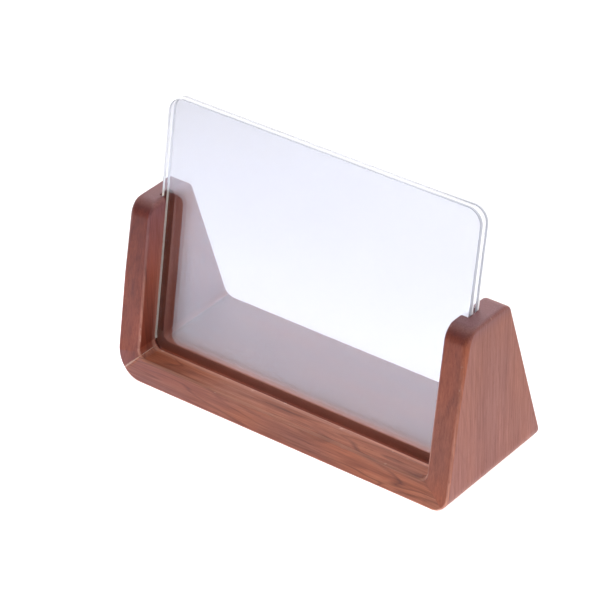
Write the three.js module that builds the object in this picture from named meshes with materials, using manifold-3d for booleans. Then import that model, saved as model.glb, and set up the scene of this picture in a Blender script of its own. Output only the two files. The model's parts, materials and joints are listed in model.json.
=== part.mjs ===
// Desk picture frame: a mitred walnut stand, open at the top, with two clear sheets in one leaning groove.
// Units are millimetres. +X is to the viewer's right, +Y runs to the back, +Z is up.
// The origin is on the table, in the middle of the stand's width and depth.

import * as THREE from 'three';
import { mergeVertices } from 'three/addons/utils/BufferGeometryUtils.js';
import Module from 'manifold-3d';

// Driving dimensions of the clear sheets
const SHEET_WIDTH = 203;
const SHEET_HEIGHT = 152;
const SHEET_THICKNESS = 3;
const SHEET_CORNER_RADIUS = 9;
const PRINT_GAP = 2.4;

// Driving dimensions of the wooden stand
const BOARD_THICKNESS = 14.5;
const BASE_DEPTH = 88.5;
const UPRIGHT_HEIGHT = 102.5;
const FRONT_LEAN = THREE.MathUtils.degToRad(10);
const TOP_DEPTH = 37.2;
const GROOVE_DEPTH = 5;
const GROOVE_SETBACK = 13.4;
const OUTER_CORNER_RADIUS = 14;
const INNER_CORNER_RADIUS = 5;
const TOP_FRONT_RADIUS = 10;
const TOP_REAR_RADIUS = 7;
const ARRIS_RADIUS = 2;
const TOP_EDGE_RADIUS = 2.5;

// Driving dimensions of the hidden dowels
const DOWEL_DIAMETER = 5;
const DOWEL_LENGTH = 10;

// Clearances
const SHEET_FRONT_CLEARANCE = 1.4;
const SHEET_REAR_CLEARANCE = 0.3;
const SHEET_SIDE_CLEARANCE = 0.4;
const SHEET_FLOOR_CLEARANCE = 0.3;
const MITRE_GLUE_GAP = 0.3;
const DOWEL_CLEARANCE = 0.3;

// Facets of the round stretches, and how far a cutting body reaches past what it cuts
const CURVE_SEGMENTS = 3;
const ARC_FACETS = 6;
const ARRIS_FACETS = 3;
const DOWEL_FACETS = 24;
const CUT_MARGIN = 10;

// Sizes that follow from the driving dimensions
const GROOVE_SPAN = SHEET_WIDTH + 2 * SHEET_SIDE_CLEARANCE;
const SHEET_STACK = 2 * SHEET_THICKNESS + PRINT_GAP;
const GROOVE_WIDTH = SHEET_FRONT_CLEARANCE + SHEET_STACK + SHEET_REAR_CLEARANCE;
const STAND_WIDTH = GROOVE_SPAN + 2 * (BOARD_THICKNESS - GROOVE_DEPTH);
const GROOVE_FLOOR = BOARD_THICKNESS - GROOVE_DEPTH;
const HALF_WIDTH = STAND_WIDTH / 2;
const HALF_OPENING = HALF_WIDTH - BOARD_THICKNESS;
const MITRE_START = OUTER_CORNER_RADIUS * (1 - Math.SQRT1_2);
const MITRE_END = BOARD_THICKNESS + INNER_CORNER_RADIUS * (1 - Math.SQRT1_2);
const MITRE_MIDDLE = (MITRE_START + MITRE_END) / 2;
const FRONT_SLOPE = Math.tan(FRONT_LEAN);
const REAR_SLOPE = (BASE_DEPTH - TOP_DEPTH) / UPRIGHT_HEIGHT - FRONT_SLOPE;
const REAR_LEAN = Math.atan(REAR_SLOPE);

const frontFaceY = (z) => -BASE_DEPTH / 2 + z * FRONT_SLOPE;
const rearFaceY = (z) => BASE_DEPTH / 2 - z * REAR_SLOPE;
const grooveFrontY = (z) => frontFaceY(z) + GROOVE_SETBACK / Math.cos(FRONT_LEAN);
const grooveRearY = (z) => grooveFrontY(z) + GROOVE_WIDTH / Math.cos(FRONT_LEAN);

const WALNUT = { roughness: 0.45, metalness: 0 };
const walnutUpright = () => new THREE.MeshStandardMaterial({ color: 0x7a4632, ...WALNUT });
const walnutRail = () => new THREE.MeshStandardMaterial({ color: 0x8a5138, ...WALNUT });
const beech = () => new THREE.MeshStandardMaterial({ color: 0xc79f6b, roughness: 0.7, metalness: 0 });
const clearAcrylic = () => new THREE.MeshStandardMaterial({
  color: 0xf1f2fa,
  roughness: 0.05,
  metalness: 0,
  transparent: true,
  opacity: 0.25,
});

// Solid joining and cutting
const wasm = await Module();
wasm.setup();

function toSolid(geometry) {
  const bare = geometry.clone();
  bare.deleteAttribute('normal');
  bare.deleteAttribute('uv');
  const merged = mergeVertices(bare);
  const vertProperties = new Float32Array(merged.attributes.position.array);
  const triVerts = new Uint32Array(merged.index.array);
  return new wasm.Manifold(new wasm.Mesh({ numProp: 3, vertProperties, triVerts }));
}

function toGeometry(solid) {
  const mesh = solid.getMesh();
  const geometry = new THREE.BufferGeometry();
  geometry.setAttribute('position', new THREE.BufferAttribute(mesh.vertProperties, 3));
  geometry.setIndex(new THREE.BufferAttribute(mesh.triVerts, 1));
  geometry.computeVertexNormals();
  return geometry;
}

// A prism of an outline drawn in X and Z, running from the back to the front
function prismAlongY(outline, depth) {
  const settings = { depth, bevelEnabled: false, curveSegments: CURVE_SEGMENTS };
  const geometry = new THREE.ExtrudeGeometry(outline, settings);
  geometry.rotateX(Math.PI / 2);
  geometry.translate(0, depth / 2, 0);
  return geometry;
}

// A prism of an outline drawn in Y and Z, running across the width
function prismAlongX(outline, width) {
  const geometry = new THREE.ExtrudeGeometry(outline, { depth: width, bevelEnabled: false });
  geometry.rotateX(Math.PI / 2);
  geometry.rotateZ(Math.PI / 2);
  geometry.translate(-width / 2, 0, 0);
  return geometry;
}

// Front view of the stand: two uprights and a rail, round at the corners outside, inside and on top
function standOutline() {
  const shape = new THREE.Shape();
  const quarter = Math.PI / 2;
  const outerX = HALF_WIDTH - OUTER_CORNER_RADIUS;
  const innerX = HALF_OPENING - INNER_CORNER_RADIUS;
  const innerZ = BOARD_THICKNESS + INNER_CORNER_RADIUS;
  const topZ = UPRIGHT_HEIGHT - TOP_EDGE_RADIUS;
  const topOuterX = HALF_WIDTH - TOP_EDGE_RADIUS;
  const topInnerX = HALF_OPENING + TOP_EDGE_RADIUS;
  shape.moveTo(-outerX, 0);
  shape.absarc(outerX, OUTER_CORNER_RADIUS, OUTER_CORNER_RADIUS, -quarter, 0);
  shape.absarc(topOuterX, topZ, TOP_EDGE_RADIUS, 0, quarter);
  shape.absarc(topInnerX, topZ, TOP_EDGE_RADIUS, quarter, 2 * quarter);
  shape.absarc(innerX, innerZ, INNER_CORNER_RADIUS, 0, -quarter, true);
  shape.absarc(-innerX, innerZ, INNER_CORNER_RADIUS, -quarter, -2 * quarter, true);
  shape.absarc(-topInnerX, topZ, TOP_EDGE_RADIUS, 0, quarter);
  shape.absarc(-topOuterX, topZ, TOP_EDGE_RADIUS, quarter, 2 * quarter);
  shape.absarc(-outerX, OUTER_CORNER_RADIUS, OUTER_CORNER_RADIUS, 2 * quarter, 3 * quarter);
  return shape;
}

// The stand's outline between its leaning front and rear faces, with rounded arrises.
// The extrusion starts at the back: its first half follows the rear face and its second half the front.
function leaningStand() {
  const coreDepth = 1;
  const geometry = new THREE.ExtrudeGeometry(standOutline(), {
    depth: coreDepth,
    curveSegments: CURVE_SEGMENTS,
    bevelThickness: ARRIS_RADIUS,
    bevelSize: ARRIS_RADIUS,
    bevelOffset: -ARRIS_RADIUS,
    bevelSegments: ARRIS_FACETS,
  });
  const position = geometry.attributes.position;
  for (let i = 0; i < position.count; i += 1) {
    const z = position.getY(i);
    const along = position.getZ(i);
    const fromRear = along + ARRIS_RADIUS;
    const fromFront = coreDepth + ARRIS_RADIUS - along;
    const y = along < coreDepth / 2 ? rearFaceY(z) - fromRear : frontFaceY(z) + fromFront;
    position.setXYZ(i, position.getX(i), y, z);
  }
  return geometry;
}

// What is cut away to round a top corner of the side view: all that lies outside the circle's tangents.
// The angles are those of the two faces' outward normals, in the plane of Y and Z.
function topCornerCutter(faceAt, faceNormal, radius) {
  const topNormal = Math.PI / 2;
  const step = (faceNormal - topNormal) / ARC_FACETS;
  const cornerY = faceAt(UPRIGHT_HEIGHT);
  const inset = radius * Math.tan((faceNormal - topNormal) / 2);
  const centre = new THREE.Vector2(cornerY + inset, UPRIGHT_HEIGHT - radius);
  const reach = radius / Math.cos(step / 2);
  const points = [];
  for (let i = 0; i < ARC_FACETS; i += 1) {
    const angle = topNormal + (i + 0.5) * step;
    points.push(new THREE.Vector2(Math.cos(angle), Math.sin(angle)).multiplyScalar(reach).add(centre));
  }
  const last = points.length - 1;
  points[0].add(points[0].clone().sub(points[1]).setLength(CUT_MARGIN));
  points[last].add(points[last].clone().sub(points[last - 1]).setLength(CUT_MARGIN));
  const bisector = (topNormal + faceNormal) / 2;
  const outside = new THREE.Vector2(Math.cos(bisector), Math.sin(bisector));
  points.push(outside.multiplyScalar(radius + 2 * CUT_MARGIN).add(centre));
  return prismAlongX(new THREE.Shape(points), STAND_WIDTH + 2 * CUT_MARGIN);
}

// One side of the mitres in the front view: the rail's wedge (0), or an upright's side (-1 left, +1 right)
function mitreRegion(side) {
  const halfGap = MITRE_GLUE_GAP / Math.SQRT2;
  const shift = side === 0 ? -halfGap : halfGap;
  const outer = HALF_WIDTH + CUT_MARGIN;
  const foot = shift - CUT_MARGIN;
  const apex = HALF_WIDTH + shift;
  const top = apex + UPRIGHT_HEIGHT;
  const points = side === 0
    ? [[-outer, foot], [outer, foot], [0, apex]]
    : [[side * outer, foot], [side * outer, top], [0, top], [0, apex]];
  const shape = new THREE.Shape(points.map(([x, z]) => new THREE.Vector2(x, z)));
  return prismAlongY(shape, BASE_DEPTH + 2 * CUT_MARGIN);
}

// A frame that leans with the groove, with its origin at the foot of the groove's front wall
function grooveFrame() {
  const group = new THREE.Group();
  group.position.set(0, grooveFrontY(GROOVE_FLOOR), GROOVE_FLOOR);
  group.rotation.x = -FRONT_LEAN;
  group.updateMatrixWorld();
  return group;
}

function grooveCutter() {
  const height = UPRIGHT_HEIGHT + CUT_MARGIN;
  const geometry = new THREE.BoxGeometry(GROOVE_SPAN, GROOVE_WIDTH, height);
  geometry.translate(0, GROOVE_WIDTH / 2, height / 2);
  return geometry.applyMatrix4(grooveFrame().matrixWorld);
}

// A dowel's place: halfway along the mitre from its rounded outer corner to its rounded inner one,
// square to it, midway between two faces of the stand
function dowelFrame(side, faceA, faceB) {
  const y = (faceA(MITRE_MIDDLE) + faceB(MITRE_MIDDLE)) / 2;
  const group = new THREE.Group();
  group.position.set(side * (HALF_WIDTH - MITRE_MIDDLE), y, MITRE_MIDDLE);
  group.rotation.y = -side * Math.PI / 4;
  group.updateMatrixWorld();
  return group;
}

function dowelBody(radius, length) {
  const geometry = new THREE.CylinderGeometry(radius, radius, length, DOWEL_FACETS);
  return geometry.rotateZ(Math.PI / 2);
}

const dowelFrames = {};
for (const [sideName, side] of [['left', -1], ['right', 1]]) {
  dowelFrames[`${sideName}_front_dowel`] = dowelFrame(side, frontFaceY, grooveFrontY);
  dowelFrames[`${sideName}_rear_dowel`] = dowelFrame(side, grooveRearY, rearFaceY);
}

// The whole stand in one piece, before the mitres part it
function standSolid() {
  const cutters = [
    topCornerCutter(frontFaceY, Math.PI - FRONT_LEAN, TOP_FRONT_RADIUS),
    topCornerCutter(rearFaceY, REAR_LEAN, TOP_REAR_RADIUS),
    grooveCutter(),
  ];
  for (const frame of Object.values(dowelFrames)) {
    const hole = dowelBody(DOWEL_DIAMETER / 2 + DOWEL_CLEARANCE, DOWEL_LENGTH + 2 * DOWEL_CLEARANCE);
    cutters.push(hole.applyMatrix4(frame.matrixWorld));
  }
  return cutters.reduce((solid, cutter) => solid.subtract(toSolid(cutter)), toSolid(leaningStand()));
}

function sheetGeometry() {
  const halfWidth = SHEET_WIDTH / 2;
  const radius = SHEET_CORNER_RADIUS;
  const quarter = Math.PI / 2;
  const shape = new THREE.Shape();
  shape.absarc(halfWidth - radius, radius, radius, -quarter, 0);
  shape.absarc(halfWidth - radius, SHEET_HEIGHT - radius, radius, 0, quarter);
  shape.absarc(radius - halfWidth, SHEET_HEIGHT - radius, radius, quarter, 2 * quarter);
  shape.absarc(radius - halfWidth, radius, radius, 2 * quarter, 3 * quarter);
  return prismAlongY(shape, SHEET_THICKNESS);
}

const frameModel = new THREE.Group();

function addPiece(parent, name, geometry, material) {
  const mesh = new THREE.Mesh(geometry, material);
  mesh.name = name;
  parent.add(mesh);
  return mesh;
}

// Wooden stand
const stand = standSolid();
const boards = [
  ['left_upright', -1, walnutUpright()],
  ['base_rail', 0, walnutRail()],
  ['right_upright', 1, walnutUpright()],
];
for (const [name, side, material] of boards) {
  const board = stand.intersect(toSolid(mitreRegion(side)));
  addPiece(frameModel, name, toGeometry(board), material);
}

// Dowels across the mitres
for (const [name, frame] of Object.entries(dowelFrames)) {
  addPiece(frame, name, dowelBody(DOWEL_DIAMETER / 2, DOWEL_LENGTH), beech());
  frameModel.add(frame);
}

// Clear sheets in the groove
const groove = grooveFrame();
const frontSheetY = SHEET_FRONT_CLEARANCE + SHEET_THICKNESS / 2;
const sheetPlaces = { front_sheet: frontSheetY, rear_sheet: frontSheetY + SHEET_THICKNESS + PRINT_GAP };
for (const [name, y] of Object.entries(sheetPlaces)) {
  const sheet = addPiece(groove, name, sheetGeometry(), clearAcrylic());
  sheet.position.set(0, y, SHEET_FLOOR_CLEARANCE);
}
frameModel.add(groove);

export default frameModel;
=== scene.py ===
"""Desk picture frame: a mitred walnut stand with two clear acrylic sheets leaning in its groove.

Lengths are in metres, in the CAD frame: +X to the viewer's right, +Y to the back, +Z up.
"""
import json
import math

import bmesh
import bpy
from mathutils import Matrix, Vector


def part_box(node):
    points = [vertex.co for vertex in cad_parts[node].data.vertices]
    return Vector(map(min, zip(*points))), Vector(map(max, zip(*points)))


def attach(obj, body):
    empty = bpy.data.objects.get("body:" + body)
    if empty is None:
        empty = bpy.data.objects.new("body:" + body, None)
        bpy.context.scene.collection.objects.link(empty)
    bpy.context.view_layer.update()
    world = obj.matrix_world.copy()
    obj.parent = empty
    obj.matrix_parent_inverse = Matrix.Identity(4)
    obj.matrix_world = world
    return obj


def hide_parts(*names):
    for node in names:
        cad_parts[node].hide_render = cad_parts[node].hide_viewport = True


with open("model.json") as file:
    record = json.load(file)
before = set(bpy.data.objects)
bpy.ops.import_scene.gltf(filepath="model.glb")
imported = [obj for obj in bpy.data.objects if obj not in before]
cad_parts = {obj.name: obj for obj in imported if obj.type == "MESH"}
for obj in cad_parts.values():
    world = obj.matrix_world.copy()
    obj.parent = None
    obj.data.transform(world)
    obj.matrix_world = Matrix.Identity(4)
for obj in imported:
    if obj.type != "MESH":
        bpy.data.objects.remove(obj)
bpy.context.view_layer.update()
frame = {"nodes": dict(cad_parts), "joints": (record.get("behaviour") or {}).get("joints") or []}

MM = 0.001

# Camera, as the photograph was taken
CAMERA_TARGET = Vector((-3.3, -16.8, 74.9)) * MM
CAMERA_DISTANCE = 1740 * MM
CAMERA_AZIMUTH = math.radians(38.2)
CAMERA_ELEVATION = math.radians(32.8)
CAMERA_ROLL = math.radians(-0.9)
CAMERA_LENS = 198
CAMERA_REACH = 20

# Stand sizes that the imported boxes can't tell
BOARD_THICKNESS = 14.5 * MM
BASE_DEPTH = 88.5 * MM
TOP_DEPTH = 37.2 * MM
LEFT_CORNER_RADIUS = 17 * MM
RIGHT_CORNER_RADIUS = 9.5 * MM
INNER_CORNER_RADIUS = 5 * MM
INNER_CORNER_TOP = BOARD_THICKNESS + INNER_CORNER_RADIUS
GROOVE_CORNER_RADIUS = 6 * MM
TOP_FRONT_RADIUS = 10 * MM
TOP_REAR_RADIUS = 7 * MM
TOP_OUTER_RADIUS = 2.5 * MM
LEFT_TOP_INNER_RADIUS = 4 * MM
RIGHT_TOP_INNER_RADIUS = 1 * MM
ARRIS_RADIUS = 1.4 * MM
TOP_ARRIS_RADIUS = 4 * MM
ARRIS_WIDENS_FROM = 60 * MM
LIP_RADIUS = 0.4 * MM
MITRE_GAP = 0.05 * MM
DOWEL_HOLE_CLEARANCE = 0.3 * MM

# Sheet sizes
SHEET_CORNER_RADIUS = 9 * MM
SHEET_EDGE_RADIUS = 0.4 * MM
SHEET_FRONT_CLEARANCE = 1.4 * MM
SHEET_REAR_CLEARANCE = 0.3 * MM
SHEET_SIDE_CLEARANCE = 0.4 * MM

# Grey rim along the front of a sheet's edge, a painted reflection of the darker room: its width, and how
# grey it is on each side
FRONT_RIM_WIDTH = 1.8 * MM
REAR_RIM_WIDTH = 1.3 * MM
RIM_FADE = 0.2 * MM
FRONT_TOP_RIM = 0.7
REAR_TOP_RIM = 0.0
TOP_RIM_FADE = 40 * MM
LEFT_RIM = 0.12
LOW_LEFT_RIM = 0.5
LEFT_RIM_RISE = 12 * MM

# Studio light: a tent with an opening, softboxes on the frame, and lamps that only reach the floor
TENT_OPENING = (0.40, -0.85, 0.35)
TENT_STRENGTH = 0.5
TENT_STOPS = ((0.0, (1.0, 0.99, 1.0)), (0.55, 0.03))
FRAME_CENTRE = Vector((0, 0, 0.06))
TOP_SOFTBOX = {"place": (-0.35, 1.2, 1.4), "size": 2.4, "power": 46, "colour": (1.0, 0.99, 1.0)}
RIGHT_SOFTBOX = {"place": (1.4, 0.0, 0.10), "size": 0.4, "power": 5.0, "colour": (1.0, 0.98, 0.98)}
FRONT_SOFTBOX = {"place": (0.0, -0.8, 1.6), "size": 1.0, "power": 3, "colour": (1.0, 0.99, 1.0)}
EDGE_SOFTBOX = {"place": (0.9, -0.1, 1.1), "size": 0.5, "power": 9, "colour": (1.0, 1.0, 1.0)}
FLOOR_SOFTBOX = {
    "place": (-0.15, -0.40, 0.6), "size": 0.7, "power": 3.3, "colour": (0.68, 0.78, 1.0), "spread": 50,
}
FLOOR_WASH = 3.4
FLOOR_HALF_WIDTH = 6.0

# Mesh fineness
ARRIS_STEPS = 7
LIP_STEPS = 3
CORNER_STEPS = 32
TOP_STEPS = 18
UPRIGHT_STEPS = 14
RAIL_STEPS = 22
OUTER_FACE_STEPS = 8
LAND_STEPS = 4
REAR_LAND_EASE = 1.6
SHEET_ARC_STEPS = 20
SHEET_EDGE_STEPS = 3
SHEET_SIDE_STEPS = 24
SHARP_ANGLE = math.radians(35)
LARGE_FACE_WEIGHT = 100

# Where the parts of a section start, counted in points round its loop. The groove has two walls and a floor
GROOVE_FACES = 3
FRONT_LAND_START = 2 * (ARRIS_STEPS + 1) - 1
GROOVE_START = FRONT_LAND_START + LAND_STEPS + LIP_STEPS
REAR_LIP_START = GROOVE_START + GROOVE_FACES
REAR_START = REAR_LIP_START + LIP_STEPS + LAND_STEPS + ARRIS_STEPS

# Material numbers of a board and of a sheet
FRONT, GROOVE, OUTSIDE, LAND = range(4)
CLEAR, FROSTED = range(2)

# Wood tones, from dark grain to pale
RAIL_PALETTE = (
    (0.22, (0.17, 0.047, 0.023)),
    (0.38, (0.30, 0.087, 0.043)),
    (0.52, (0.41, 0.126, 0.062)),
    (0.70, (0.50, 0.176, 0.090)),
)
LEFT_PALETTE = (
    (0.20, (0.15, 0.032, 0.015)),
    (0.38, (0.25, 0.054, 0.026)),
    (0.55, (0.33, 0.074, 0.035)),
    (0.75, (0.40, 0.098, 0.046)),
)
RIGHT_PALETTE = (
    (0.20, (0.18, 0.046, 0.020)),
    (0.38, (0.31, 0.080, 0.037)),
    (0.55, (0.40, 0.106, 0.048)),
    (0.75, (0.48, 0.136, 0.063)),
)
# Outer and rear faces: a paler, pinker walnut whose tone is partly painted sheen
OUTSIDE_SHEEN_PALETTE = (
    (0.20, (0.200, 0.065, 0.043)),
    (0.38, (0.300, 0.104, 0.072)),
    (0.55, (0.365, 0.133, 0.095)),
    (0.75, (0.430, 0.163, 0.118)),
)
# End grain's tone, its mauve partly painted sheen; also the painted sheen high on the front lands
END_GRAIN_AND_SHEEN_PALETTE = (
    (0.20, (0.15, 0.053, 0.054)),
    (0.38, (0.19, 0.072, 0.075)),
    (0.55, (0.23, 0.090, 0.095)),
    (0.75, (0.26, 0.108, 0.112)),
)
# Lands behind the sheets, each toned to how it shows through them: the uprights' lighter, painted light,
# the rail's darker, painted shade
UPRIGHT_LAND_PALETTE = (
    (0.20, (0.31, 0.096, 0.058)),
    (0.38, (0.40, 0.127, 0.078)),
    (0.55, (0.47, 0.151, 0.095)),
    (0.75, (0.54, 0.176, 0.112)),
)
RAIL_LAND_PALETTE = (
    (0.20, (0.19, 0.062, 0.038)),
    (0.38, (0.24, 0.080, 0.049)),
    (0.55, (0.28, 0.095, 0.058)),
    (0.75, (0.32, 0.110, 0.068)),
)
GROOVE_PALETTE = (
    (0.20, (0.21, 0.050, 0.026)),
    (0.38, (0.32, 0.078, 0.042)),
    (0.55, (0.43, 0.109, 0.058)),
    (0.75, (0.52, 0.145, 0.078)),
)
BEECH_PALETTE = (
    (0.25, (0.36, 0.22, 0.11)),
    (0.50, (0.50, 0.33, 0.18)),
    (0.75, (0.60, 0.42, 0.25)),
    (0.90, (0.64, 0.46, 0.28)),
)

# Wood grain: noise features per millimetre along and across it, and what each noise does to the colour
BANDS = {"along": 0.008, "across": 0.14, "detail": 3, "roughness": 0.55, "distortion": 0.9}
STREAKS = {"along": 0.025, "across": 0.9, "detail": 4, "roughness": 0.6, "distortion": 0.2}
FIBRES = {"along": 0.08, "across": 1.8, "detail": 3, "roughness": 0.6}
PORES = {"along": 0.16, "across": 3.2, "detail": 2}
DRIFT = {"along": 0.012, "across": 0.05, "detail": 2}
FLOW = {"along": 0.009, "across": 0.06, "detail": 2, "distortion": 0.5}
SPOTS = {"along": 0.2, "across": 0.5, "detail": 2}
STREAK_GAIN = 0.6
FLOW_LINES = 15.0
DRIFT_STOPS = ((0.35, (0.86, 0.91, 1.04)), (0.68, (1.12, 1.01, 0.84)))
LINE_STOPS = ((0.0, (0.40, 0.33, 0.35)), (0.28, 1.0))
LINE_PRESENCE_STOPS = ((0.38, 0.15), (0.62, 1.0))
FIBRE_STOPS = ((0.30, (0.84, 0.82, 0.82)), (0.65, 1.06))
PORE_STOPS = ((0.26, (0.55, 0.50, 0.48)), (0.36, 1.0))
WOOD_ROUGHNESS = ((0.3, 0.50), (0.7, 0.38))
WOOD_BUMP = 0.25
WOOD_RELIEF = 0.15 * MM
WOOD_SPECULAR = 0.25

# Wear with painted highlight, painted shade, sheen and reflection, and glue on the wood
# Wear on the arrises, paled further as a painted highlight; along the top edges only a painted highlight
WORN_AND_HIGHLIT_WALNUT = (0.70, 0.34, 0.24, 1)
WEAR_AND_HIGHLIGHT_STOPS = ((0.30, 0.30), (0.65, 0.80))
CHIPPED_WALNUT = (0.78, 0.50, 0.38, 1)
CHIP_STOPS = ((0.66, 0.0), (0.74, 0.9))
TOP_EDGE_HIGHLIGHT = 0.2
UPRIGHT_WEAR_AND_HIGHLIGHT = 0.6
WEAR_AND_HIGHLIGHT_FADE = 60 * MM
# Painted shade: toward the top of the front faces, low on the uprights' front lands, and the left upright's
# shadow on the rail
SHADED_WALNUT = (0.60, 0.46, 0.40, 1)
LEFT_TOP_SHADE = 1.6
RIGHT_TOP_SHADE = 1.0
LAND_SHADE = 1.4
SHADE_HEIGHT = 65 * MM
RAIL_SHADE = 0.25
SHADE_LENGTH = 45 * MM
# Painted sheen high on the front lands, and a mauve tint at the rail's left end
LAND_SHEEN = 0.85
LAND_SHEEN_FROM = 55 * MM
RAIL_LEFT_MAUVE = 0.55
RAIL_LEFT_MAUVE_LENGTH = 90 * MM
# Painted reflection: a pale band over the groove's rear lip, standing in for what the sheets reflect there
LIP_REFLECTION_WALNUT = (0.66, 0.28, 0.20, 1)
GLUE_LINE = (0.62, 0.34, 0.22, 1)
GLUE_STOPS = ((0.2, 0.35), (0.6, 0.9))

# Clear acrylic and its frosted cut edge
ACRYLIC_IOR = 1.49
STRAIGHT_TINT = (0.92, 0.92, 0.93)
OBLIQUE_TINT = (0.652, 0.643, 0.676)
OBLIQUE = 0.26
EVEN_BLEND = 0.5
SHADOW_TINT = (0.97, 0.97, 0.98, 1)
COAT_WEIGHT = 0.4
COAT_ROUGHNESS = 0.02
COAT_IOR = 1.5
SMEARS = {"along": 0.03, "across": 0.03, "detail": 4}
SMEAR_ROUGHNESS = ((0.4, 0.0), (0.75, 0.012))
CUTTER_MARKS = {"along": 0.9, "across": 0.9, "detail": 3}
PALE_EDGE_STOPS = ((0.3, (0.93, 0.93, 0.94)), (0.7, (0.97, 0.97, 0.98)))
GREY_EDGE_STOPS = ((0.3, (0.37, 0.38, 0.43)), (0.7, (0.45, 0.46, 0.51)))
EDGE_ROUGHNESS = ((0.3, 0.5), (0.7, 0.35))
WARM_EDGE = (0.97, 0.93, 0.80, 1)

# Floor paper
MOTTLE = {"along": 0.02, "across": 0.02, "detail": 3}
MOTTLE_STOPS = ((0.3, (0.88, 0.88, 0.885)), (0.7, (0.90, 0.90, 0.905)))

# Colour sockets of a Mix node
MIX_A = 6
MIX_B = 7
MIX_RESULT = 2

# The lean of the groove and the front face, from the sheets' slide
slide = frame["joints"][0]["axis"]
FRONT_SLOPE = slide[1] / slide[2]
FRONT_LEAN = math.atan(FRONT_SLOPE)
LEAN = Matrix.Rotation(-FRONT_LEAN, 4, "X")

# Stand sizes that follow from the frame
HALF_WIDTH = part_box("right_upright")[1].x
UPRIGHT_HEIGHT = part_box("right_upright")[1].z
HALF_OPENING = HALF_WIDTH - BOARD_THICKNESS
REAR_SLOPE = (BASE_DEPTH - TOP_DEPTH) / UPRIGHT_HEIGHT - FRONT_SLOPE
REAR_LEAN = math.atan(REAR_SLOPE)


def leaning_box(node):
    """The lowest and highest corner of a node, measured in the leaning frame."""
    points = [LEAN.inverted() @ v.co for v in frame["nodes"][node].data.vertices]
    low = Vector(min(p[i] for p in points) for i in range(3))
    high = Vector(max(p[i] for p in points) for i in range(3))
    return low, high


# Groove sizes that follow from the sheets
front_sheet_box = leaning_box("front_sheet")
rear_sheet_box = leaning_box("rear_sheet")
GROOVE_HALF_SPAN = front_sheet_box[1].x + SHEET_SIDE_CLEARANCE
GROOVE_FRONT = front_sheet_box[0].y - SHEET_FRONT_CLEARANCE
GROOVE_REAR = rear_sheet_box[1].y + SHEET_REAR_CLEARANCE
GROOVE_FLOOR = HALF_WIDTH - GROOVE_HALF_SPAN


# Section of a board

def rounded_top(face, lean, inward, radius):
    """A leaning face as y over z, with the stand's top corner rounded.

    inward is 1 at the front and -1 at the rear.
    """
    corner = face(UPRIGHT_HEIGHT)
    centre_y = corner + inward * radius * math.tan((math.pi / 2 - lean) / 2)
    centre_z = UPRIGHT_HEIGHT - radius
    tangent_z = centre_z + radius * math.sin(lean)

    def rounded(z):
        if z <= tangent_z:
            return face(z)
        half = math.sqrt(max(radius ** 2 - (z - centre_z) ** 2, 0))
        return centre_y - inward * half

    return rounded


front_y = rounded_top(lambda z: -BASE_DEPTH / 2 + z * FRONT_SLOPE, FRONT_LEAN, 1, TOP_FRONT_RADIUS)
rear_y = rounded_top(lambda z: BASE_DEPTH / 2 - z * REAR_SLOPE, REAR_LEAN, -1, TOP_REAR_RADIUS)


def groove_front_y(z):
    """The groove's front wall as y over z."""
    return GROOVE_FRONT / math.cos(FRONT_LEAN) + z * FRONT_SLOPE


def groove_rear_y(z):
    """The groove's rear wall as y over z."""
    return GROOVE_REAR / math.cos(FRONT_LEAN) + z * FRONT_SLOPE


def outer_arris(z):
    """The radius of the outer front arris, which is sanded rounder toward the top."""
    share = max(z - ARRIS_WIDENS_FROM, 0) / (UPRIGHT_HEIGHT - ARRIS_WIDENS_FROM)
    return ARRIS_RADIUS + (TOP_ARRIS_RADIUS - ARRIS_RADIUS) * share


def quarter(radius, steps):
    """Offsets along the two sides of a corner, from one tangent point to the other."""
    for i in range(steps + 1):
        angle = math.pi / 2 * i / steps
        yield radius * (1 - math.sin(angle)), radius * (1 - math.cos(angle))


def put_flat(loop, place, face_a, offset_a, face_b, offset_b, steps=LAND_STEPS, ease=1):
    """Points between two stretches of the loop, on a flat run from face_a to face_b.

    An ease above 1 draws the points toward face_a.
    """
    start = face_a(place.y) + offset_a
    end = face_b(place.y) + offset_b
    for i in range(1, steps):
        loop.append(Vector((place.x, start + (end - start) * (i / steps) ** ease, place.y)))


def section(ring):
    """The loop of points round the board at one ring.

    It starts at the outer front arris and runs over the front face, through the groove and round the back.
    """
    outer, inner, floor = ring
    inward = (inner - outer).normalized()
    outer_radius = outer_arris(outer.y)
    loop = []

    def put(place, face, offset):
        loop.append(Vector((place.x, face(place.y) + offset, place.y)))

    for along, across in quarter(outer_radius, ARRIS_STEPS):
        put(outer + inward * across, front_y, along)
    for along, across in quarter(ARRIS_RADIUS, ARRIS_STEPS):
        put(inner - inward * along, front_y, across)
    put_flat(loop, inner, front_y, ARRIS_RADIUS, groove_front_y, -LIP_RADIUS)
    for along, across in quarter(LIP_RADIUS, LIP_STEPS):
        put(inner - inward * across, groove_front_y, -along)
    put(floor, groove_front_y, 0)
    put(floor, groove_rear_y, 0)
    for along, across in quarter(LIP_RADIUS, LIP_STEPS):
        put(inner - inward * along, groove_rear_y, across)
    put_flat(loop, inner, groove_rear_y, LIP_RADIUS, rear_y, -ARRIS_RADIUS, ease=REAR_LAND_EASE)
    for along, across in quarter(ARRIS_RADIUS, ARRIS_STEPS):
        put(inner - inward * across, rear_y, -along)
    for along, across in quarter(ARRIS_RADIUS, ARRIS_STEPS):
        put(outer + inward * along, rear_y, -across)
    put_flat(loop, outer, rear_y, -ARRIS_RADIUS, front_y, outer_radius, OUTER_FACE_STEPS)
    return loop


# Rings: where the outer face, inner face and groove floor of a board are, in X and Z

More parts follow.
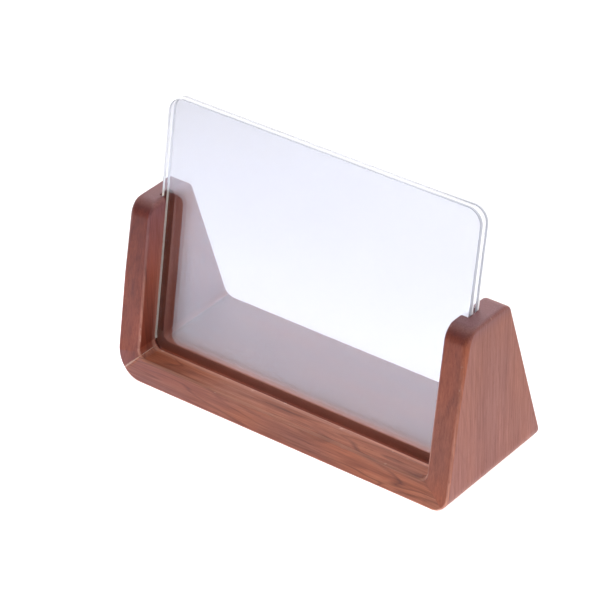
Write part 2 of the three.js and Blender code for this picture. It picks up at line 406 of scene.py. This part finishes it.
def along_corner(share, corner, radius, reach):
    """A point on a rounded corner in X and Z. It starts reach above the corner and ends reach beside it."""
    straight = reach - radius
    arc = radius * math.pi / 2
    distance = share * (2 * straight + arc)
    if distance <= straight:
        return Vector((corner.x, corner.y + reach - distance))
    if distance >= straight + arc:
        return Vector((corner.x - radius - (distance - straight - arc), corner.y))
    angle = (distance - straight) / radius
    centre = corner + Vector((-radius, radius))
    return centre + radius * Vector((math.cos(angle), -math.sin(angle)))


def corner_ring(share, outer_radius):
    """The outer, inner and groove floor points of the right corner.

    share runs from the upright (0) past the mitre to the rail (1).
    """
    outer = along_corner(share, Vector((HALF_WIDTH, 0)), outer_radius, INNER_CORNER_TOP)
    inner_corner = Vector((HALF_OPENING, BOARD_THICKNESS))
    inner = along_corner(share, inner_corner, INNER_CORNER_RADIUS, INNER_CORNER_RADIUS)
    floor_corner = Vector((GROOVE_HALF_SPAN, GROOVE_FLOOR))
    floor = along_corner(share, floor_corner, GROOVE_CORNER_RADIUS, INNER_CORNER_TOP - GROOVE_FLOOR)
    return outer, inner, floor


def top_inset(z, radius):
    """How far a rounded top edge draws a face in at one height."""
    above = max(z - (UPRIGHT_HEIGHT - radius), 0)
    return radius - math.sqrt(max(radius ** 2 - above ** 2, 0))


def upright_ring(z, top_inner_radius):
    """The same three points at one height of the right upright, drawn in at its rounded top edges."""
    outer = Vector((HALF_WIDTH - top_inset(z, TOP_OUTER_RADIUS), z))
    inner = Vector((HALF_OPENING + top_inset(z, top_inner_radius), z))
    return outer, inner, Vector((GROOVE_HALF_SPAN, z))


def upright_rings(outer_radius, top_inner_radius):
    """Rings of an upright at the right, from its top down to the mitre."""
    rings = []
    for i in range(TOP_STEPS):
        drop = 1 - math.cos(math.pi / 2 * i / TOP_STEPS)
        rings.append(upright_ring(UPRIGHT_HEIGHT - TOP_FRONT_RADIUS * drop, top_inner_radius))
    high = UPRIGHT_HEIGHT - TOP_FRONT_RADIUS
    for i in range(UPRIGHT_STEPS):
        z = high + (INNER_CORNER_TOP - high) * i / UPRIGHT_STEPS
        rings.append(upright_ring(z, top_inner_radius))
    half = CORNER_STEPS // 2
    return rings + [corner_ring(i / CORNER_STEPS, outer_radius) for i in range(half + 1)]


def mirrored(ring):
    """The same ring at the left of the frame."""
    return tuple(Vector((-p.x, p.y)) for p in ring)


def rail_rings():
    """Rings of the rail, from the right mitre to the left one."""
    shares = [i / CORNER_STEPS for i in range(CORNER_STEPS // 2, CORNER_STEPS + 1)]
    right = [corner_ring(share, RIGHT_CORNER_RADIUS) for share in shares]
    left = [mirrored(corner_ring(share, LEFT_CORNER_RADIUS)) for share in shares]
    last = right[-1]
    straight = []
    for i in range(1, RAIL_STEPS):
        x = last[0].x * (1 - 2 * i / RAIL_STEPS)
        straight.append(tuple(Vector((x, p.y)) for p in last))
    return right + straight + list(reversed(left))


# Meshes

def swept_mesh(name, loops, material_of, marks):
    """A closed mesh through a row of loops, capped at both ends.

    material_of gives the material number of a face, from the face and its place in the loop. marks names
    point attributes, each with a function of a point's row and its place in the loop.
    """
    mesh = bmesh.new()
    for mark in marks:
        mesh.verts.layers.float.new(mark)
    rows = [[mesh.verts.new(p) for p in loop] for loop in loops]
    count = len(rows[0])
    for mark, value in marks.items():
        layer = mesh.verts.layers.float[mark]
        for r, row in enumerate(rows):
            for i, point in enumerate(row):
                point[layer] = value(r, i)
    for above, below in zip(rows, rows[1:]):
        for i in range(count):
            j = (i + 1) % count
            face = mesh.faces.new((above[i], above[j], below[j], below[i]))
            face.material_index = material_of(face, i)
    for end in (rows[0], list(reversed(rows[-1]))):
        face = mesh.faces.new(end)
        face.material_index = material_of(face, 0)
    bmesh.ops.recalc_face_normals(mesh, faces=mesh.faces)
    return finished_mesh(name, mesh)


def finished_mesh(name, mesh):
    """An object made from a bmesh, shaded smooth up to the sharp angle."""
    data = bpy.data.meshes.new(name)
    mesh.to_mesh(data)
    mesh.free()
    data.shade_smooth()
    data.set_sharp_from_angle(angle=SHARP_ANGLE)
    made = bpy.data.objects.new(name, data)
    bpy.context.collection.objects.link(made)
    return made


def flat_faces_stay_flat(piece):
    """Weights normals by face size, so that rounded edges don't bend the shading of the flats."""
    weighted = piece.modifiers.new("flat_faces", "WEIGHTED_NORMAL")
    weighted.keep_sharp = True
    weighted.weight = LARGE_FACE_WEIGHT


# Material nodes

def new_material(name):
    material = bpy.data.materials.new(name)
    material.use_nodes = True
    material.node_tree.nodes.clear()
    return material, material.node_tree


def feed(tree, socket, value):
    """Links a socket to another node's output, or sets its value."""
    if isinstance(value, bpy.types.NodeSocket):
        tree.links.new(value, socket)
    else:
        socket.default_value = value


def add_node(tree, kind, inputs=None, **settings):
    """A node with some settings and inputs. An input is a value or another node's output."""
    node = tree.nodes.new("ShaderNode" + kind)
    for key, value in settings.items():
        setattr(node, key, value)
    for key, value in (inputs or {}).items():
        feed(tree, node.inputs[key], value)
    return node


def ramp(tree, factor, stops):
    """A colour ramp. A stop has a position and a colour, or one number for a grey."""
    node = add_node(tree, "ValToRGB", {"Fac": factor})
    elements = node.color_ramp.elements
    while len(elements) < len(stops):
        elements.new(0.5)
    for element, (position, value) in zip(elements, stops):
        colour = value if isinstance(value, tuple) else (value, value, value)
        element.position = position
        element.color = (*colour, 1)
    return node.outputs["Color"]


def grain_space(tree, axis):
    """Object coordinates in millimetres, turned so that the grain runs along X."""
    coordinates = add_node(tree, "TexCoord").outputs["Object"]
    turn = {"X": (0, 0, 0), "Z": (0, math.pi / 2, 0)}[axis]
    scale = (1 / MM, 1 / MM, 1 / MM)
    mapping = add_node(tree, "Mapping", {"Vector": coordinates, "Rotation": turn, "Scale": scale})
    return mapping.outputs["Vector"]


def noise(tree, space, along, across, detail, roughness=0.5, distortion=0.0, place=(0, 0, 0)):
    """Noise in the grain space, with features per millimetre along and across the grain."""
    scale = (along, across, across)
    mapping = add_node(tree, "Mapping", {"Vector": space, "Scale": scale, "Location": place})
    node = add_node(tree, "TexNoise", {
        "Vector": mapping.outputs["Vector"], "Scale": 1.0,
        "Detail": detail, "Roughness": roughness, "Distortion": distortion,
    })
    return node.outputs["Fac"]


def mixed(tree, blend, factor, a, b):
    node = add_node(tree, "Mix", {"Factor": factor}, data_type="RGBA", blend_type=blend)
    feed(tree, node.inputs[MIX_A], a)
    feed(tree, node.inputs[MIX_B], b)
    return node.outputs[MIX_RESULT]


def math_node(tree, operation, *values):
    node = add_node(tree, "Math", operation=operation)
    for socket, value in zip(node.inputs, values):
        feed(tree, socket, value)
    return node.outputs[0]


def centred(tree, value, gain, base):
    """A noise value spread about its middle: base + gain * (value - 0.5)."""
    return math_node(tree, "MULTIPLY_ADD", math_node(tree, "SUBTRACT", value, 0.5), gain, base)


def attribute(tree, name):
    """A mark on the mesh's points, as a number. It is 0 where a mesh lacks the mark."""
    return add_node(tree, "Attribute", attribute_name=name).outputs["Fac"]


def marked(tree, name, factor, stops):
    """A mark on the mesh's points, broken up by a noise through a ramp."""
    return math_node(tree, "MULTIPLY", attribute(tree, name), ramp(tree, factor, stops))


# Materials

def wood(name, axis, palette, seed, figure, lines=0.0, drifting=1.0):
    """Oiled wood with its grain along one axis.

    figure is how much the growth bands show, lines how dark the flowing grain lines are, and drifting how
    much the tone wanders between warm and cool.
    """
    material, tree = new_material(name)
    space = grain_space(tree, axis)
    place = (seed, 2 * seed, 3 * seed)
    bands = noise(tree, space, **BANDS, place=place)
    streaks = noise(tree, space, **STREAKS, place=place)
    fibres = noise(tree, space, **FIBRES, place=place)
    pores = noise(tree, space, **PORES, place=place)
    drift = noise(tree, space, **DRIFT, place=place)
    flow = noise(tree, space, **FLOW, place=place)
    spots = noise(tree, space, **SPOTS, place=place)

    tone = centred(tree, streaks, STREAK_GAIN, centred(tree, bands, figure, 0.5))
    colour = ramp(tree, tone, palette)
    colour = mixed(tree, "MULTIPLY", drifting, colour, ramp(tree, drift, DRIFT_STOPS))
    folded = math_node(tree, "PINGPONG", math_node(tree, "MULTIPLY", flow, FLOW_LINES), 1.0)
    presence = math_node(tree, "MULTIPLY", ramp(tree, drift, LINE_PRESENCE_STOPS), lines)
    colour = mixed(tree, "MULTIPLY", presence, colour, ramp(tree, folded, LINE_STOPS))
    colour = mixed(tree, "MULTIPLY", 1.0, colour, ramp(tree, fibres, FIBRE_STOPS))
    pits = ramp(tree, pores, PORE_STOPS)
    colour = mixed(tree, "MULTIPLY", 1.0, colour, pits)

    # Painted shade, darkening the wood where the shade mark is set
    colour = mixed(tree, "MULTIPLY", attribute(tree, "shade"), colour, SHADED_WALNUT)
    # Painted reflection on the groove's rear lip, from the pale mark
    colour = mixed(tree, "MIX", attribute(tree, "pale"), colour, LIP_REFLECTION_WALNUT)
    # End grain on the tops and painted sheen high on the front lands, from the end mark
    colour = mixed(tree, "MIX", attribute(tree, "end"), colour, ramp(tree, fibres, END_GRAIN_AND_SHEEN_PALETTE))
    # Wear, paled further as a painted highlight on the arrises and top edges
    colour = mixed(tree, "MIX", marked(tree, "wear_and_highlight", streaks, WEAR_AND_HIGHLIGHT_STOPS), colour, WORN_AND_HIGHLIT_WALNUT)
    colour = mixed(tree, "MIX", marked(tree, "wear_and_highlight", spots, CHIP_STOPS), colour, CHIPPED_WALNUT)
    colour = mixed(tree, "MIX", marked(tree, "joint", fibres, GLUE_STOPS), colour, GLUE_LINE)

    relief = math_node(tree, "MULTIPLY", fibres, pits)
    bump = add_node(tree, "Bump", {"Height": relief, "Strength": WOOD_BUMP, "Distance": WOOD_RELIEF})
    shader = add_node(tree, "BsdfPrincipled", {
        "Base Color": colour, "Roughness": ramp(tree, fibres, WOOD_ROUGHNESS),
        "Normal": bump.outputs["Normal"], "Specular IOR Level": WOOD_SPECULAR,
    })
    add_node(tree, "OutputMaterial", {"Surface": shader.outputs[0]})
    return material


def clear_acrylic():
    """Clear polished acrylic that passes less light at an angle.

    Shadow rays pass straight through it, so that lamps light what is behind it without caustics.
    """
    material, tree = new_material("polished_acrylic")
    smears = noise(tree, grain_space(tree, "X"), **SMEARS)
    facing = add_node(tree, "LayerWeight", {"Blend": EVEN_BLEND}).outputs["Facing"]
    acrylic = add_node(tree, "BsdfPrincipled", {
        "Base Color": ramp(tree, facing, ((0.0, STRAIGHT_TINT), (OBLIQUE, OBLIQUE_TINT))),
        "Roughness": ramp(tree, smears, SMEAR_ROUGHNESS),
        "IOR": ACRYLIC_IOR, "Transmission Weight": 1.0,
        "Coat Weight": COAT_WEIGHT, "Coat Roughness": COAT_ROUGHNESS, "Coat IOR": COAT_IOR,
    })
    see_through = add_node(tree, "BsdfTransparent", {"Color": SHADOW_TINT})
    in_shadow = add_node(tree, "LightPath").outputs["Is Shadow Ray"]
    mix = add_node(tree, "MixShader", {0: in_shadow, 1: acrylic.outputs[0], 2: see_through.outputs[0]})
    add_node(tree, "OutputMaterial", {"Surface": mix.outputs[0]})
    return material


def acrylic_edge():
    """The sheets' cut edge: pale and frosted, with a greyer front rim that is a painted reflection, and
    faint cutter marks.
    """
    material, tree = new_material("cut_acrylic_edge")
    marks = noise(tree, grain_space(tree, "X"), **CUTTER_MARKS)
    colour = ramp(tree, marks, PALE_EDGE_STOPS)
    colour = mixed(tree, "MIX", attribute(tree, "warm"), colour, WARM_EDGE)
    # The grey front rim, a painted reflection of the darker room
    colour = mixed(tree, "MIX", attribute(tree, "rim"), colour, ramp(tree, marks, GREY_EDGE_STOPS))
    shader = add_node(tree, "BsdfPrincipled", {
        "Base Color": colour, "Roughness": ramp(tree, marks, EDGE_ROUGHNESS), "IOR": ACRYLIC_IOR,
    })
    add_node(tree, "OutputMaterial", {"Surface": shader.outputs[0]})
    return material


def floor_paper():
    """Pale matt paper with a faint mottle."""
    material, tree = new_material("studio_floor")
    mottle = noise(tree, grain_space(tree, "X"), **MOTTLE)
    shader = add_node(tree, "BsdfDiffuse", {"Color": ramp(tree, mottle, MOTTLE_STOPS)})
    add_node(tree, "OutputMaterial", {"Surface": shader.outputs[0]})
    return material


# Marks on the wood: functions of a point and its place in the section's loop

def wear_and_highlight_round_section():
    """How worn each point of a section's loop is, with painted highlight on the arrises: most on the
    arrises and front lip, not on the flats.
    """
    arris = [math.sin(math.pi * i / ARRIS_STEPS) for i in range(ARRIS_STEPS + 1)]
    front_lip = [1] * (LIP_STEPS + 1)
    rear_lip = [0] * (LIP_STEPS + 1)
    land = [0] * (LAND_STEPS - 1)
    groove_floor = [0, 0]
    outer_face = [0] * (OUTER_FACE_STEPS - 1)
    return arris + arris + land + front_lip + groove_floor + rear_lip + land + arris + arris + outer_face


SECTION_WEAR_AND_HIGHLIGHT = wear_and_highlight_round_section()


def on_rail(point):
    return point.z < INNER_CORNER_TOP


def wear_and_highlight(point, i):
    """How worn a board is, with painted highlight: along the arrises, less so high on the uprights, and a
    painted highlight along the top edges.
    """
    low = 1 if on_rail(point) else UPRIGHT_WEAR_AND_HIGHLIGHT * min((UPRIGHT_HEIGHT - point.z) / WEAR_AND_HIGHLIGHT_FADE, 1)
    top = max(1 - (UPRIGHT_HEIGHT - point.z) / TOP_OUTER_RADIUS, 0)
    # The second term is a painted highlight along the top edges
    return SECTION_WEAR_AND_HIGHLIGHT[i] * low + TOP_EDGE_HIGHLIGHT * math.sin(math.pi * top)


def shade(point, i):
    """Painted shade: how dark the wood is made toward the top of the front faces, low down on the front
    lands, and at the rail's left end.
    """
    if i < FRONT_LAND_START:
        top_shade = LEFT_TOP_SHADE if point.x < 0 else RIGHT_TOP_SHADE
        over_arris = min(i / ARRIS_STEPS, 1)
        return top_shade * over_arris * max(point.z / UPRIGHT_HEIGHT, 0) ** 2
    if i > GROOVE_START:
        return 0.0
    # Painted shadow of the left upright on the rail's front land
    if on_rail(point):
        return RAIL_SHADE * max(1 - (HALF_OPENING + point.x) / SHADE_LENGTH, 0)
    return LAND_SHADE * max(1 - point.z / SHADE_HEIGHT, 0)


def end_grain_and_sheen(point, i):
    """How much the dull mauve tone of end grain and painted sheen shows.

    All of it on the flat top, some painted sheen high on the front lands, and some mauve tint on the rail's
    left end.
    """
    top = max(1 - (UPRIGHT_HEIGHT - point.z) / TOP_FRONT_RADIUS, 0) ** 2
    # Painted sheen high on the front lands
    if FRONT_LAND_START - ARRIS_STEPS < i < GROOVE_START:
        land_sheen = (point.z - LAND_SHEEN_FROM) / (UPRIGHT_HEIGHT - LAND_SHEEN_FROM)
        return max(top, LAND_SHEEN * max(land_sheen, 0))
    if i < FRONT_LAND_START and point.z < BOARD_THICKNESS:
        return RAIL_LEFT_MAUVE * max(1 - (HALF_WIDTH + point.x) / RAIL_LEFT_MAUVE_LENGTH, 0)
    return top


def pale(point, i):
    """Painted reflection, as pale wood: all on the groove's rear lip, and fading down its rear wall on the
    rail.
    """
    first = REAR_LIP_START if on_rail(point) else REAR_LIP_START + 1
    return float(first <= i <= REAR_LIP_START + LIP_STEPS)


# Wooden stand

def board_material(i):
    """The material number of a board's face, by its place in the loop."""
    if i < GROOVE_START:
        return FRONT
    if i < REAR_LIP_START:
        return GROOVE
    return LAND if i < REAR_START else OUTSIDE


def cut_dowel_holes(board, nodes):
    """Holes for the dowels, a little wider and longer than they are."""
    for node in nodes:
        dowel = frame["nodes"][node]
        points = [v.co for v in dowel.data.vertices]
        centre = sum(points, Vector()) / len(points)
        cutter = bpy.data.objects.new("dowel_cutter", dowel.data.copy())
        bpy.context.collection.objects.link(cutter)
        low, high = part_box(node)
        growth = Matrix.Scale(1 + 2 * DOWEL_HOLE_CLEARANCE / (high - low).y, 4)
        cutter.matrix_world = Matrix.Translation(centre) @ growth @ Matrix.Translation(-centre)
        cut = board.modifiers.new("dowel_hole", "BOOLEAN")
        cut.operation = "DIFFERENCE"
        cut.solver = "EXACT"
        cut.object = cutter
        bpy.context.view_layer.objects.active = board
        bpy.ops.object.modifier_apply(modifier=cut.name)
        bpy.data.objects.remove(cutter)


def make_board(name, loops, materials, dowels, glued_row=None):
    """A board swept through its loops. glued_row is the row of a mitre whose glue line shows."""
    # Marks on the points: worn edges with painted highlight, glue, end grain with painted sheen, painted
    # shade and painted reflection
    marks = {
        "wear_and_highlight": lambda row, i: wear_and_highlight(loops[row][i], i),
        "joint": lambda row, i: float(row == glued_row and i < GROOVE_START),
        "end": lambda row, i: end_grain_and_sheen(loops[row][i], i),
        "shade": lambda row, i: min(shade(loops[row][i], i), 1),
        "pale": lambda row, i: pale(loops[row][i], i),
    }
    board = swept_mesh(name + "_board", loops, lambda face, i: board_material(i), marks)
    for material in materials:
        board.data.materials.append(material)
    cut_dowel_holes(board, dowels)
    flat_faces_stay_flat(board)
    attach(board, "stand")
    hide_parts(name)
    return board


def shifted(loop, normal, distance):
    return [p + normal * distance for p in loop]


right_rings = upright_rings(RIGHT_CORNER_RADIUS, RIGHT_TOP_INNER_RADIUS)
left_rings = upright_rings(LEFT_CORNER_RADIUS, LEFT_TOP_INNER_RADIUS)
right_loops = [section(ring) for ring in right_rings]
left_loops = [section(mirrored(ring)) for ring in left_rings]
rail_loops = [section(ring) for ring in rail_rings()]

# Half of each mitre's gap is taken from the upright and half from the rail
right_mitre_normal = Vector((1, 0, 1)).normalized()
left_mitre_normal = Vector((-1, 0, 1)).normalized()
right_loops[-1] = shifted(right_loops[-1], right_mitre_normal, MITRE_GAP / 2)
left_loops[-1] = shifted(left_loops[-1], left_mitre_normal, MITRE_GAP / 2)
rail_loops[0] = shifted(rail_loops[0], right_mitre_normal, -MITRE_GAP / 2)
rail_loops[-1] = shifted(rail_loops[-1], left_mitre_normal, -MITRE_GAP / 2)

left_walnut = wood("oiled_walnut_left_upright", "Z", LEFT_PALETTE, seed=11, figure=0.7, lines=0.3)
right_walnut = wood("oiled_walnut_right_upright", "Z", RIGHT_PALETTE, seed=47, figure=0.5, lines=0.2)
rail_walnut = wood("oiled_walnut_rail", "X", RAIL_PALETTE, seed=23, figure=0.9, lines=0.9)
upright_groove = wood("oiled_walnut_upright_groove", "Z", GROOVE_PALETTE, seed=31, figure=0.5)
rail_groove = wood("oiled_walnut_rail_groove", "X", GROOVE_PALETTE, seed=37, figure=0.5)
# The outer and rear faces, with painted sheen in their paler tone
upright_outside_sheen = wood(
    "oiled_walnut_upright_face_sheen", "Z", OUTSIDE_SHEEN_PALETTE, seed=53, figure=0.4, lines=0.2, drifting=0.4,
)
rail_outside_sheen = wood(
    "oiled_walnut_rail_face_sheen", "X", OUTSIDE_SHEEN_PALETTE, seed=59, figure=0.6, lines=0.5, drifting=0.4,
)
# Lands behind the sheets, toned for painted light and shade
upright_land = wood("oiled_walnut_upright_land", "Z", UPRIGHT_LAND_PALETTE, seed=61, figure=0.2)
rail_land = wood("oiled_walnut_rail_land", "X", RAIL_LAND_PALETTE, seed=67, figure=0.2)

# In the order of the material numbers
left_materials = [left_walnut, upright_groove, upright_outside_sheen, upright_land]
right_materials = [right_walnut, upright_groove, upright_outside_sheen, upright_land]
rail_materials = [rail_walnut, rail_groove, rail_outside_sheen, rail_land]

left_dowels = ["left_front_dowel", "left_rear_dowel"]
right_dowels = ["right_front_dowel", "right_rear_dowel"]
left_board = make_board(
    "left_upright", left_loops, left_materials, left_dowels,
    glued_row=len(left_loops) - 1,
)
right_board = make_board("right_upright", right_loops, right_materials, right_dowels)
rail_board = make_board(
    "base_rail", rail_loops, rail_materials, left_dowels + right_dowels,
    glued_row=len(rail_loops) - 1,
)
boards = [left_board, right_board, rail_board]

beech = wood("dowel_beech", "X", BEECH_PALETTE, seed=5, figure=0.4)
for node in left_dowels + right_dowels:
    frame["nodes"][node].data.materials.clear()
    frame["nodes"][node].data.materials.append(beech)


# Clear sheets

def sheet_outline(low, high, inset):
    """The sheet's rounded outline in X and Z, drawn in by inset."""
    radius = SHEET_CORNER_RADIUS - inset
    arcs = []
    # Each corner, with the quarter turn at which its arc starts
    corners = ((high.x, low.z, -1), (high.x, high.z, 0), (low.x, high.z, 1), (low.x, low.z, 2))
    for x, z, quarters in corners:
        centre_x = x - math.copysign(SHEET_CORNER_RADIUS, x)
        centre_z = z + SHEET_CORNER_RADIUS if z == low.z else z - SHEET_CORNER_RADIUS
        arc = []
        for i in range(SHEET_ARC_STEPS + 1):
            angle = math.pi / 2 * (quarters + i / SHEET_ARC_STEPS)
            arc.append(Vector((centre_x + radius * math.cos(angle), centre_z + radius * math.sin(angle))))
        arcs.append(arc)
    points = []
    for arc, following in zip(arcs, arcs[1:] + arcs[:1]):
        points += arc
        points += [arc[-1].lerp(following[0], i / SHEET_SIDE_STEPS) for i in range(1, SHEET_SIDE_STEPS)]
    return points


def on_left_edge(point):
    return point.x < SHEET_CORNER_RADIUS - GROOVE_HALF_SPAN


def in_left_groove(point):
    return on_left_edge(point) and point.z < UPRIGHT_HEIGHT


def rim_reflection_share(point, top_rim):
    """How grey the front rim's painted reflection is: faint on the left, and fading to top_rim along the
    top edge.
    """
    if in_left_groove(point):
        return 0.0
    if on_left_edge(point):
        return LOW_LEFT_RIM if point.z < UPRIGHT_HEIGHT + LEFT_RIM_RISE else LEFT_RIM
    from_corner = (GROOVE_HALF_SPAN - SHEET_CORNER_RADIUS - point.x) / TOP_RIM_FADE
    return 1 + (top_rim - 1) * min(max(from_corner, 0), 1)


def sheet_material(face, left_frosted):
    """The material number of a sheet's face: the two large faces and the edge in the rail are clear."""
    large = len(face.verts) > 4
    middle = face.calc_center_median()
    in_rail = middle.z < BOARD_THICKNESS
    clear_left = in_left_groove(middle) and not left_frosted
    return CLEAR if large or in_rail or clear_left else FROSTED


def make_sheet(node, top_rim, rim_width, left_frosted):
    """A clear sheet with a cut edge.

    top_rim is how grey its front rim is along the top, and left_frosted says if its left edge is frosted
    in the groove too.
    """
    low, high = leaning_box(node)
    edge = list(quarter(SHEET_EDGE_RADIUS, SHEET_EDGE_STEPS))
    levels = [(low.y + across, along) for along, across in edge]
    levels.append((low.y + rim_width, 0))
    levels.append((low.y + rim_width + RIM_FADE, 0))
    levels += [(high.y - along, across) for along, across in edge]
    last_rim_row = SHEET_EDGE_STEPS + 1
    loops = []
    for y, inset in levels:
        outline = sheet_outline(low, high, inset)
        loops.append([LEAN @ Vector((x, y, z)) for x, z in outline])
    marks = {
        "rim": lambda row, i: rim_reflection_share(loops[row][i], top_rim) if row <= last_rim_row else 0.0,
        "warm": lambda row, i: float(in_left_groove(loops[row][i])),
    }
    name = node + "_acrylic"
    sheet = swept_mesh(name, loops, lambda face, i: sheet_material(face, left_frosted), marks)
    sheet.data.materials.append(acrylic)
    sheet.data.materials.append(cut_edge)
    flat_faces_stay_flat(sheet)
    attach(sheet, node)
    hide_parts(node)
    return sheet


acrylic = clear_acrylic()
cut_edge = acrylic_edge()
sheets = [
    make_sheet("front_sheet", FRONT_TOP_RIM, FRONT_RIM_WIDTH, left_frosted=False),
    make_sheet("rear_sheet", REAR_TOP_RIM, REAR_RIM_WIDTH, left_frosted=True),
]


# Floor, light and camera

def make_floor():
    mesh = bmesh.new()
    half = FLOOR_HALF_WIDTH
    corners = ((-half, -half), (half, -half), (half, half), (-half, half))
    mesh.faces.new([mesh.verts.new((x, y, 0)) for x, y in corners])
    floor = finished_mesh("studio_floor", mesh)
    floor.data.materials.append(floor_paper())
    return floor


def lit_only(lamp, name, pieces):
    """Lets a lamp reach these pieces and nothing else."""
    collection = bpy.data.collections.new(name)
    for piece in pieces:
        collection.objects.link(piece)
    lamp.light_linking.receiver_collection = collection


def softbox(name, target, pieces, place, size, power, colour, spread=180):
    """A square lamp turned to a target. It lights only these pieces, and the camera doesn't see it."""
    light = bpy.data.lights.new(name, "AREA")
    light.shape = "SQUARE"
    light.size = size
    light.energy = power
    light.color = colour
    light.spread = math.radians(spread)
    lamp = bpy.data.objects.new(name, light)
    lamp.location = place
    lamp.rotation_euler = (target - lamp.location).to_track_quat("-Z", "Y").to_euler()
    lamp.visible_camera = False
    bpy.context.collection.objects.link(lamp)
    lit_only(lamp, name + "_lit", pieces)


def floor_wash(floor):
    """An even light on the floor that keeps shadows faint."""
    light = bpy.data.lights.new("floor_wash", "SUN")
    light.energy = FLOOR_WASH
    light.use_shadow = False
    lamp = bpy.data.objects.new("floor_wash", light)
    bpy.context.collection.objects.link(lamp)
    lit_only(lamp, "floor_wash_lit", [floor])


def studio_world():
    """A bright white tent that is darker on the side where its opening is, at the front right."""
    world = bpy.data.worlds.new("studio")
    world.use_nodes = True
    tree = world.node_tree
    direction = add_node(tree, "TexCoord").outputs["Generated"]
    facing = add_node(tree, "VectorMath", {0: direction, 1: TENT_OPENING}, operation="DOT_PRODUCT")
    colour = ramp(tree, facing.outputs["Value"], TENT_STOPS)
    background = tree.nodes["Background"]
    feed(tree, background.inputs["Color"], colour)
    feed(tree, background.inputs["Strength"], TENT_STRENGTH)
    bpy.context.scene.world = world


def make_camera():
    """A long lens on a sphere round its target, with a slight roll."""
    flat = math.cos(CAMERA_ELEVATION)
    back = Vector((
        math.sin(CAMERA_AZIMUTH) * flat,
        -math.cos(CAMERA_AZIMUTH) * flat,
        math.sin(CAMERA_ELEVATION),
    ))
    camera = bpy.data.objects.new("camera", bpy.data.cameras.new("camera"))
    camera.data.lens = CAMERA_LENS
    camera.data.clip_end = CAMERA_REACH
    turn = back.to_track_quat("Z", "Y").to_matrix() @ Matrix.Rotation(CAMERA_ROLL, 3, "Z")
    camera.matrix_world = Matrix.Translation(CAMERA_TARGET + back * CAMERA_DISTANCE) @ turn.to_4x4()
    bpy.context.collection.objects.link(camera)
    bpy.context.scene.camera = camera


floor = make_floor()
floor_wash(floor)
below_floor_softbox = Vector((*FLOOR_SOFTBOX["place"][:2], 0))
softbox("floor_softbox", below_floor_softbox, [floor], **FLOOR_SOFTBOX)
softbox("top_softbox", FRAME_CENTRE, boards + sheets, **TOP_SOFTBOX)
softbox("right_softbox", FRAME_CENTRE, boards + sheets, **RIGHT_SOFTBOX)
softbox("front_softbox", FRAME_CENTRE, boards + sheets, **FRONT_SOFTBOX)
softbox("edge_softbox", FRAME_CENTRE, sheets, **EDGE_SOFTBOX)
studio_world()
make_camera()
bpy.context.scene.view_settings.view_transform = "Standard"
